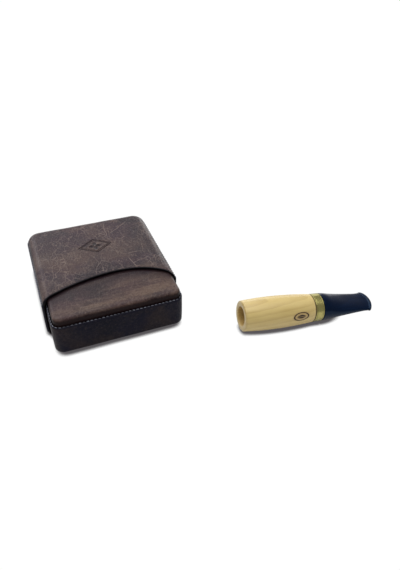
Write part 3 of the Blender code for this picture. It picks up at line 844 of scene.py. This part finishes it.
stemSettings = {
    # place, half width, half height and squareness of the outside
    "sections": ((54.4, 9.15, 9.15, 2.0), (57.0, 9.2, 8.85, 2.0), (64.0, 9.15, 6.6, 2.1),
                 (72.0, 8.9, 4.4, 2.3), (80.0, 8.4, 3.0, 2.5), (86.5, 8.2, 2.25, 2.5), (89.3, 8.3, 2.2, 2.5)),
    "lip": ((89.7, 8.4, 2.35, 2.5), (90.1, 8.5, 2.68, 2.5), (90.6, 8.56, 2.8, 2.5), (91.2, 8.5, 2.72, 2.5),
            (91.6, 8.35, 2.45, 2.5), (91.8, 8.0, 2.05, 2.5)),
    "slot": ((91.8, 5.4, 1.15, 3.0), (91.65, 4.9, 0.8, 2.8), (91.3, 4.7, 0.66, 2.6), (88.0, 4.1, 0.62, 2.5),
             (84.0, 2.9, 0.7, 2.2), (80.0, 1.5, 1.0, 2.0), (70.0, 1.4, 1.4, 2.0), (61.6, 1.6, 1.6, 2.0)),
    "socket": ((61.3, 1.7), (61.3, 4.5), (61.2, 4.5), (54.6, 4.5), (54.4, 4.7), (54.4, 8.7), (54.45, 8.95),
               (54.6, 9.1)),
    "bow": 2.9, "bowFrom": 54.4, "bowTo": 92.5, "bowWidth": 9.0, "outsideStart": 55.0, "around": 96,
    "along": 90,
}


def stemRows(stem):
    # Place, half width, half height and squareness of each ring: socket, outside, lip, slot, smoke channel
    keys = np.array(stem["sections"])
    along = np.linspace(stem["outsideStart"], keys[-1, 0], stem["along"])
    others = [throughKeys(keys[:, 0], keys[:, column], along) for column in (1, 2, 3)]
    outside = np.stack([along] + others, -1)
    socket = np.array([(place, radius, radius, 2.0) for place, radius in stem["socket"]])
    lip, slot = np.array(stem["lip"]), np.array(stem["slot"])
    spread = np.linspace(0, len(slot) - 1, 3 * len(slot) - 2)
    slot = np.stack([np.interp(spread, np.arange(len(slot)), slot[:, column]) for column in range(4)], -1)
    return np.concatenate([socket, outside, lip, slot])


def buildStem(material):
    # Superellipse rings drawn back towards both corners of the bit, so that its end bows outwards
    stem = stemSettings
    place, halfWidth, halfHeight, power = (item[:, None] for item in stemRows(stem).T)
    angle = np.arange(stem["around"]) * 2 * math.pi / stem["around"]
    height = halfHeight * np.sign(np.cos(angle)) * np.abs(np.cos(angle))**(2 / power)
    width = halfWidth * np.sign(np.sin(angle)) * np.abs(np.sin(angle))**(2 / power)
    share = np.clip((place - stem["bowFrom"]) / (stem["bowTo"] - stem["bowFrom"]), 0, 1)
    drawn = stem["bow"] * share**4 * (width / stem["bowWidth"])**2
    down, away, axis = holderAxes
    grid = holderMouth + height[..., None] * down + width[..., None] * away
    grid = grid + (place - drawn)[..., None] * axis
    closedPiece("holderStem", grid, "stem", material, ["holder_stem"], 45)


def toHolder(finish):
    # Places in the holder's own frame: below, away and along its axis, in metres
    start = tuple(holderMouth * mm)
    return finish.stretch(finish.place(), (1.0, 1.0, 1.0), tuple(holderTurn), start, "TEXTURE")


def woodFinish(name, look):
    # Year rings round a pith off to one side, leaning a little across the barrel, with fibres and pores
    finish = Finish(name, coatRough=0.3, specular=0.45)
    local = toHolder(finish)
    bent = finish.warp(local, 32.0, 0.0035)
    leaning = finish.stretch(bent, (1.0, 1.0, 1.0), look["lean"], look["pith"])
    flat = finish.stretch(leaning, (1.0, 1.0, 0.0))
    radius = finish.node("VectorMath", {"operation": "LENGTH"}, {0: flat}, "Value")
    wobble = finish.noise(finish.stretch(local, (1.0, 1.0, 0.25)), 150.0, 3.0, 0.5)
    year = (radius * (1.0 / (look["ringWidth"] * mm)) + wobble * 0.55).fraction()
    late = year.between(0.35, 0.97) * year.falling(0.97, 1.0)
    fibre = finish.noise(finish.stretch(local, (1.0, 1.0, 0.035)), 3800.0, 3.0, 0.6)
    streak = finish.noise(finish.stretch(local, (1.0, 1.0, 0.06)), 520.0, 4.0, 0.6).between(0.35, 0.68)
    cloud = finish.noise(finish.stretch(local, (1.0, 1.0, 0.4)), 95.0, 2.0, 0.5).between(0.35, 0.65)
    colour = finish.mix(late * 0.55, look["early"], look["late"])
    colour = finish.mix(streak * 0.35, colour, look["streak"])
    colour = finish.mix(cloud * 0.30, colour, look["pale"])
    colour = finish.mix(fibre.between(0.55, 0.8) * 0.25, colour, look["late"])
    pore = finish.cells(finish.stretch(local, (1.0, 1.0, 0.09)), 1500.0).falling(0.02, 0.16)
    pore = pore * finish.noise(local, 300.0, 2.0, 0.5).between(0.5, 0.6)
    colour = finish.mix(pore * 0.35, colour, look["pore"])
    # the socket is darker, more so towards its bottom, and the mouth's rim is darker
    below, away, along = (finish.part(local, axis) for axis in "XYZ")
    off = (below * below + away * away) ** 0.5
    socket = off.falling(0.0061, 0.0066) * along.falling(0.030, 0.036)
    rim = along.falling(0.0, 0.0016)
    colour = finish.mix(rim * 0.35, colour, look["rim"])
    colour = finish.mix(socket * along.between(0.0, 0.020, 0.55, 0.95), colour, look["socket"])
    # painted shade: the barrel's end darkened where it meets the ring
    colour = finish.mix(along.between(0.0474, 0.0479) * 0.8, colour, look["joint"])
    burn, scorch = burntMark(finish, below, away, along, look)
    colour = finish.mix(scorch * 0.45, colour, look["scorch"])
    colour = finish.mix(burn, colour, look["burnt"])
    height = fibre * 0.35 + late * 0.25 - pore * 0.5 - burn * 2.2
    rough = 0.36 + fibre * 0.12 - late * 0.05 + burn * 0.25 + socket * 0.2
    return finish.finish(colour, rough, height, 0.05, coat=0.26 - burn * 0.26)


def burntMark(finish, below, away, along, look):
    # One leaf in a plain oval on the barrel's near side. Gives the burn and the scorch round it
    angle = math.radians(look["markAngle"])
    across = below * (-math.sin(angle)) + away * math.cos(angle)
    facing = below * math.cos(angle) + away * math.sin(angle)
    blur = (finish.noise(finish.place(), 1800.0, 2.0, 0.5) - 0.5) * 0.35
    u = (along - look["markAt"] * mm) * (1 / mm)
    v = across * (1 / mm)
    halfLong, halfWide = look["markHalf"]
    leafLong, leafWide = look["leafHalf"]
    alongShare, acrossShare, leafShare = u * (1 / halfLong), v * (1 / halfWide), u * (1 / leafLong)
    oval = (alongShare * alongShare + acrossShare * acrossShare) ** 0.5
    burn = (abs(oval - 1.0) * halfWide + blur * 0.5).falling(0.16, 0.40)
    leaf = (abs(v) * (1 / leafWide) + leafShare * leafShare + blur).falling(0.85, 1.05)
    burn = burn.most(leaf * (1.0 - abs(v).falling(0.08, 0.25) * 0.7))
    near = facing.between(0.004, 0.006)
    scorch = oval.falling(0.9, 1.5) * near
    return burn * near * look["burnStrength"], scorch


def brassFinish(name, look):
    # Polished round the axis, with fine turned lines, a little tarnish and dark lacquer in the two grooves
    finish = Finish(name, metallic=1.0, specular=0.5)
    local = toHolder(finish)
    lines = finish.noise(finish.stretch(local, (0.04, 0.04, 1.0)), 9000.0, 3.0, 0.6)
    smudge = finish.noise(local, 130.0, 3.0, 0.5, 0.8).between(0.4, 0.7)
    colour = finish.mix(smudge * 0.5, look["bright"], look["tarnish"])
    along = finish.part(local, "Z")
    groove = None
    for place in grooves:
        line = abs(along - place * mm).falling(0.00005, 0.00016)
        groove = line if groove is None else groove.most(line)
    colour = finish.mix(groove * 0.7, colour, look["groove"])
    return finish.finish(colour, 0.20 + lines * 0.10 + smudge * 0.10 + groove * 0.2, lines, 0.003)


def acrylicFinish(name, look):
    # Buffed, nearly black navy: faint swirls in the colour, hair scratches, a softer gloss at the bit
    finish = Finish(name, coatRough=0.06, specular=0.20)
    finish.join("Specular Tint", look["shine"])
    local = toHolder(finish)
    swirl = finish.noise(finish.stretch(local, (1.0, 1.0, 0.35)), 120.0, 3.0, 0.55, 2.0).between(0.40, 0.72)
    colour = finish.mix(swirl * 0.6, look["deep"], look["swirl"])
    drawn = finish.stretch(local, (1.0, 0.05, 1.0), turn=(0.3, 0.0, 0.2))
    hair = finish.noise(drawn, 5200.0, 2.0, 0.5).between(0.58, 0.75)
    smear = finish.noise(local, 210.0, 4.0, 0.6).between(0.4, 0.7)
    worn = finish.part(local, "Z").between(0.082, 0.091)
    rough = look["rough"] + hair * 0.10 + smear * 0.06 + worn * 0.08
    wave = finish.noise(local, 90.0, 2.0, 0.5)
    return finish.finish(colour, rough, wave * 0.8 + hair * 0.03, 0.05, coat=0.03 - worn * 0.02)


def acetalFinish(name):
    # Turned white plastic, greyed slightly where it rubs
    finish = Finish(name, specular=0.5)
    local = toHolder(finish)
    lines = finish.noise(finish.stretch(local, (0.03, 0.03, 1.0)), 7000.0, 2.0, 0.5)
    dirt = finish.noise(local, 300.0, 3.0, 0.6).between(0.45, 0.75)
    colour = finish.mix(dirt * 0.5, (0.72, 0.70, 0.64), (0.50, 0.46, 0.38))
    return finish.finish(colour, 0.42 + lines * 0.15, lines, 0.01)


woodLook = {
    "early": (0.54, 0.405, 0.146), "late": (0.39, 0.265, 0.083), "streak": (0.45, 0.318, 0.108),
    "pale": (0.63, 0.505, 0.220), "pore": (0.22, 0.13, 0.045), "rim": (0.30, 0.20, 0.075),
    "socket": (0.34, 0.185, 0.038), "scorch": (0.27, 0.145, 0.05), "joint": (0.06, 0.030, 0.012),
    "burnt": (0.028, 0.012, 0.004), "lean": (0.02, 0.10, 0.6), "pith": (0.016, 0.010, 0.0), "ringWidth": 3.6,
    "markAt": 37.3, "markAngle": -106.0, "markHalf": (5.0, 2.7), "leafHalf": (3.5, 1.35), "burnStrength": 1.0,
}
brassLook = {"bright": (0.41, 0.37, 0.135), "tarnish": (0.20, 0.17, 0.065), "groove": (0.07, 0.05, 0.02)}
acrylicLook = {"deep": (0.0006, 0.0028, 0.0140), "swirl": (0.0018, 0.0070, 0.0260), "rough": 0.14,
               "shine": (0.34, 0.62, 1.0)}

buildBarrel(woodFinish("paleWood", woodLook))
buildRing(brassFinish("ringBrass", brassLook))
buildStem(acrylicFinish("blackAcrylic", acrylicLook))
buildTenon(acetalFinish("whiteAcetal"))
print("holder built")


stageSettings = {
    "floorSize": 6.0, "floorColour": (0.86, 0.86, 0.86), "floorSeen": (1.02, 1.02, 1.02),
    # the painted contact shadow on the floor: its reach in metres, its fade and its colour
    "contactReach": 0.0045, "contactFade": (0.42, 0.84), "contactColour": (0.10, 0.092, 0.098), "sky": 0.42,
    "camera": (-0.04416, -0.26038, 0.22831), "yaw": 24.019, "dip": 40.175, "roll": 2.614, "lens": 31.17,
    # place, what it points at, width, height, watts, colour, and what it lights: all, the pieces without the
    # floor, or the case only
    "lights": (
        ((0.00, 0.10, 1.60), (0.0, 0.0, 0.0), 1.60, 1.60, 23.0, (1.0, 1.0, 1.0), "all"),
        ((0.06, 0.95, 1.00), (0.04, 0.0, 0.0), 1.10, 0.45, 6.0, (1.0, 1.0, 1.0), "pieces"),
        ((0.05, 1.35, 0.34), (0.05, 0.0, 0.28), 2.60, 0.62, 9.0, (0.98, 0.99, 1.0), "pieces"),
        ((0.95, 0.95, 0.26), (0.0, 0.0, 0.0), 1.00, 0.45, 8.0, (0.98, 0.99, 1.0), "case"),
        ((-0.36, 0.75, 0.66), (0.0, 0.0, 0.0), 0.40, 0.40, 8.0, (1.0, 0.99, 1.0), "case"),
    ),
}


def brightFloor(stage):
    # A pale floor that the camera sees as glowing clean white, with a painted contact shadow where something
    # stands close over it
    finish = Finish("floorWhite")
    camera = finish.node("LightPath", {}, {}, "Is Camera Ray")
    cloud = finish.noise(finish.place(), 3.0, 2.0, 0.5)
    pale = finish.mix(cloud * 0.1, stage["floorColour"], (1.0, 1.0, 1.0))
    clear = finish.node("AmbientOcclusion", {"samples": 32}, {"Distance": stage["contactReach"]}, "AO")
    # painted shadow: ambient occlusion darkens the glow near the pieces
    seen = finish.mix(clear.between(*stage["contactFade"]), stage["contactColour"], stage["floorSeen"])
    diffuse = finish.node("BsdfDiffuse", {}, {"Color": pale}, "BSDF")
    glow = finish.node("Emission", {}, {"Color": seen}, "Emission")
    both = finish.node("MixShader", {}, {0: camera, 1: diffuse, 2: glow}, "Shader")
    finish.tree.links.new(both.socket, finish.tree.nodes["Material Output"].inputs["Surface"])
    return finish.material


def buildStage():
    stage = stageSettings
    lit = {name: bpy.data.collections.new(name) for name in ("pieces", "case")}
    for piece in [item for item in bpy.data.objects if item.type == "MESH"]:
        lit["pieces"].objects.link(piece)
        if piece.name.startswith(("sleeve", "box")):
            lit["case"].objects.link(piece)
    half = stage["floorSize"] / 2
    mesh = bpy.data.meshes.new("floor")
    corners = [(-half, -half, 0), (half, -half, 0), (half, half, 0), (-half, half, 0)]
    mesh.from_pydata(corners, [], [(0, 1, 2, 3)])
    mesh.materials.append(brightFloor(stage))
    floor = bpy.data.objects.new("floor", mesh)
    bpy.context.scene.collection.objects.link(floor)
    for number, (place, target, width, height, power, colour, lights) in enumerate(stage["lights"]):
        light = bpy.data.lights.new("softbox%d" % number, "AREA")
        light.shape = "RECTANGLE"
        light.size, light.size_y = width, height
        light.energy = power
        light.color = colour
        lamp = bpy.data.objects.new(light.name, light)
        lamp.location = place
        lamp.rotation_euler = (Vector(target) - Vector(place)).to_track_quat("-Z", "Y").to_euler()
        bpy.context.scene.collection.objects.link(lamp)
        if lights in lit:
            lamp.light_linking.receiver_collection = lit[lights]
    world = bpy.context.scene.world or bpy.data.worlds.new("sky")
    bpy.context.scene.world = world
    world.use_nodes = True
    world.node_tree.nodes["Background"].inputs["Color"].default_value = (1.0, 1.0, 1.0, 1.0)
    world.node_tree.nodes["Background"].inputs["Strength"].default_value = stage["sky"]
    bpy.context.scene.view_settings.view_transform = "Standard"


def buildCamera():
    # Turned right by its yaw, down by its dip and about its own line of sight by its roll
    stage = stageSettings
    yaw, dip, roll = (math.radians(stage[key]) for key in ("yaw", "dip", "roll"))
    ahead = Vector((math.sin(yaw) * math.cos(dip), math.cos(yaw) * math.cos(dip), -math.sin(dip)))
    right = Vector((math.cos(yaw), -math.sin(yaw), 0.0))
    upward = right.cross(ahead)
    rolled = math.cos(roll) * right + math.sin(roll) * upward
    top = rolled.cross(ahead)
    lens = bpy.data.cameras.new("view")
    lens.lens = stage["lens"]
    lens.sensor_width = 36.0
    lens.clip_start, lens.clip_end = 0.01, 20.0
    camera = bpy.data.objects.new("view", lens)
    turn = Matrix((rolled, top, -ahead)).transposed().to_4x4()
    camera.matrix_world = Matrix.Translation(stage["camera"]) @ turn
    bpy.context.scene.collection.objects.link(camera)
    bpy.context.scene.camera = camera


for startup in [item for item in bpy.data.objects if item.name in ("Cube", "Light", "Camera")]:
    bpy.data.objects.remove(startup)
buildStage()
buildCamera()
print("stage set")
